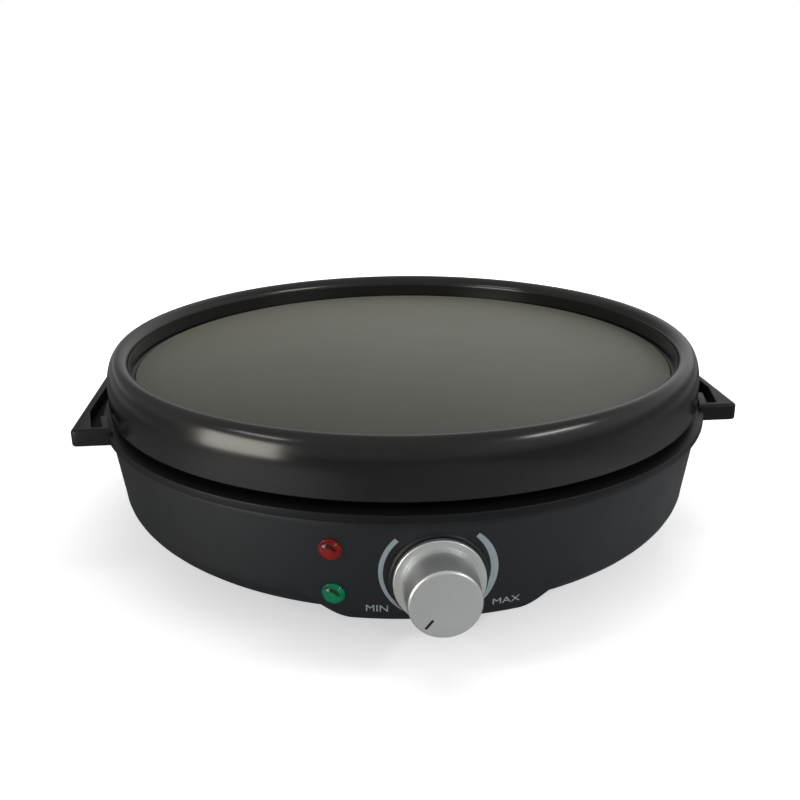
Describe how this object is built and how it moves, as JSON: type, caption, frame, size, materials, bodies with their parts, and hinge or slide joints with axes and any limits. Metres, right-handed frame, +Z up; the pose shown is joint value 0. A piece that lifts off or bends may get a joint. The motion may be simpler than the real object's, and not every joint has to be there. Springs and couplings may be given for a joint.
{
  "type": "electric crepe maker",
  "caption": "Round electric crepe maker: coated griddle plate with a raised rim on a low black base, with side handles, a front heat knob and signal lamps.",
  "frame": {"origin": "on the table at the vertical axis of the round base", "axes": "+Z up, the heat knob faces -Y, +X to the right as seen from the front, the cord inlet faces +Y"},
  "size_m": [0.343, 0.3578, 0.1015],
  "materials": {
    "plate_coating": "satin non-stick coating on cast aluminium",
    "base_plastic": "fine matte texture",
    "handle_plastic": "smooth, low sheen",
    "knob_metal": "satin silver",
    "black_plastic": "satin",
    "white_plastic": "plain",
    "rubber": "matte",
    "steel": "zinc plated",
    "reflector_metal": "bright aluminised sheet",
    "ceramic": "unglazed",
    "brass": "plain",
    "copper": "bare copper",
    "red_lens": "clear red, glossy",
    "green_lens": "clear green, glossy",
    "lamp_glass": "clear",
    "sleeve_white": "sleeving",
    "sleeve_brown": "sleeving",
    "sleeve_blue": "sleeving",
    "sleeve_green": "sleeving",
    "sleeve_red": "sleeving"
  },
  "bodies": {
    "base": {"griddle_plate": "plate_coating", "heating_element": "steel", "element_beads": "ceramic", "element_tabs": "brass", "element_clamps": "steel", "clamp_screws": "steel", "heat_reflector": "reflector_metal", "plate_posts": "steel", "post_screws": "steel", "base_shell": "base_plastic", "handle_ring": "handle_plastic", "ring_screws": "steel", "bottom_cover": "steel", "cover_screws": "steel", "foot_front_left": "rubber", "foot_front_right": "rubber", "foot_rear_left": "rubber", "foot_rear_right": "rubber", "thermostat_case": "black_plastic", "thermostat_bracket": "steel", "thermostat_tabs": "brass", "panel_screws": "steel", "sensing_bulb": "copper", "capillary": "copper", "bulb_clips": "steel", "bulb_screws": "steel", "red_lens": "red_lens", "green_lens": "green_lens", "lens_clips": "black_plastic", "neon_tubes": "lamp_glass", "lamp_leads": "sleeve_white", "thermal_fuse": "ceramic", "fuse_clip": "steel", "terminal_block": "white_plastic", "block_screws": "steel", "earth_tag": "brass", "earth_screw": "brass", "cord_gland": "black_plastic", "gland_nut": "black_plastic", "gland_cap": "black_plastic", "live_lead": "sleeve_brown", "neutral_lead": "sleeve_blue", "earth_lead": "sleeve_green", "fuse_leads": "sleeve_red"},
    "knob": {"knob_shell": "knob_metal", "knob_core": "black_plastic", "knob_pointer": "black_plastic", "knob_clip": "steel", "thermostat_spindle": "steel"},
    "adjuster": {"adjusting_pin": "ceramic"}
  },
  "joints": [
    {"name": "knob_turn", "type": "hinge", "parent": "base", "child": "knob", "pos_m": [0, -0.165, 0.039], "axis": [0, 1, 0], "range_deg": [0, 264]},
    {"name": "pin_slide", "type": "slide", "parent": "base", "child": "adjuster", "axis": [0, 1, 0], "range_m": [0, 0.001]}
  ],
  "couplings": [
    {"joint": "pin_slide", "follows": "knob_turn", "m_per_rad": 0.0002}
  ]
}
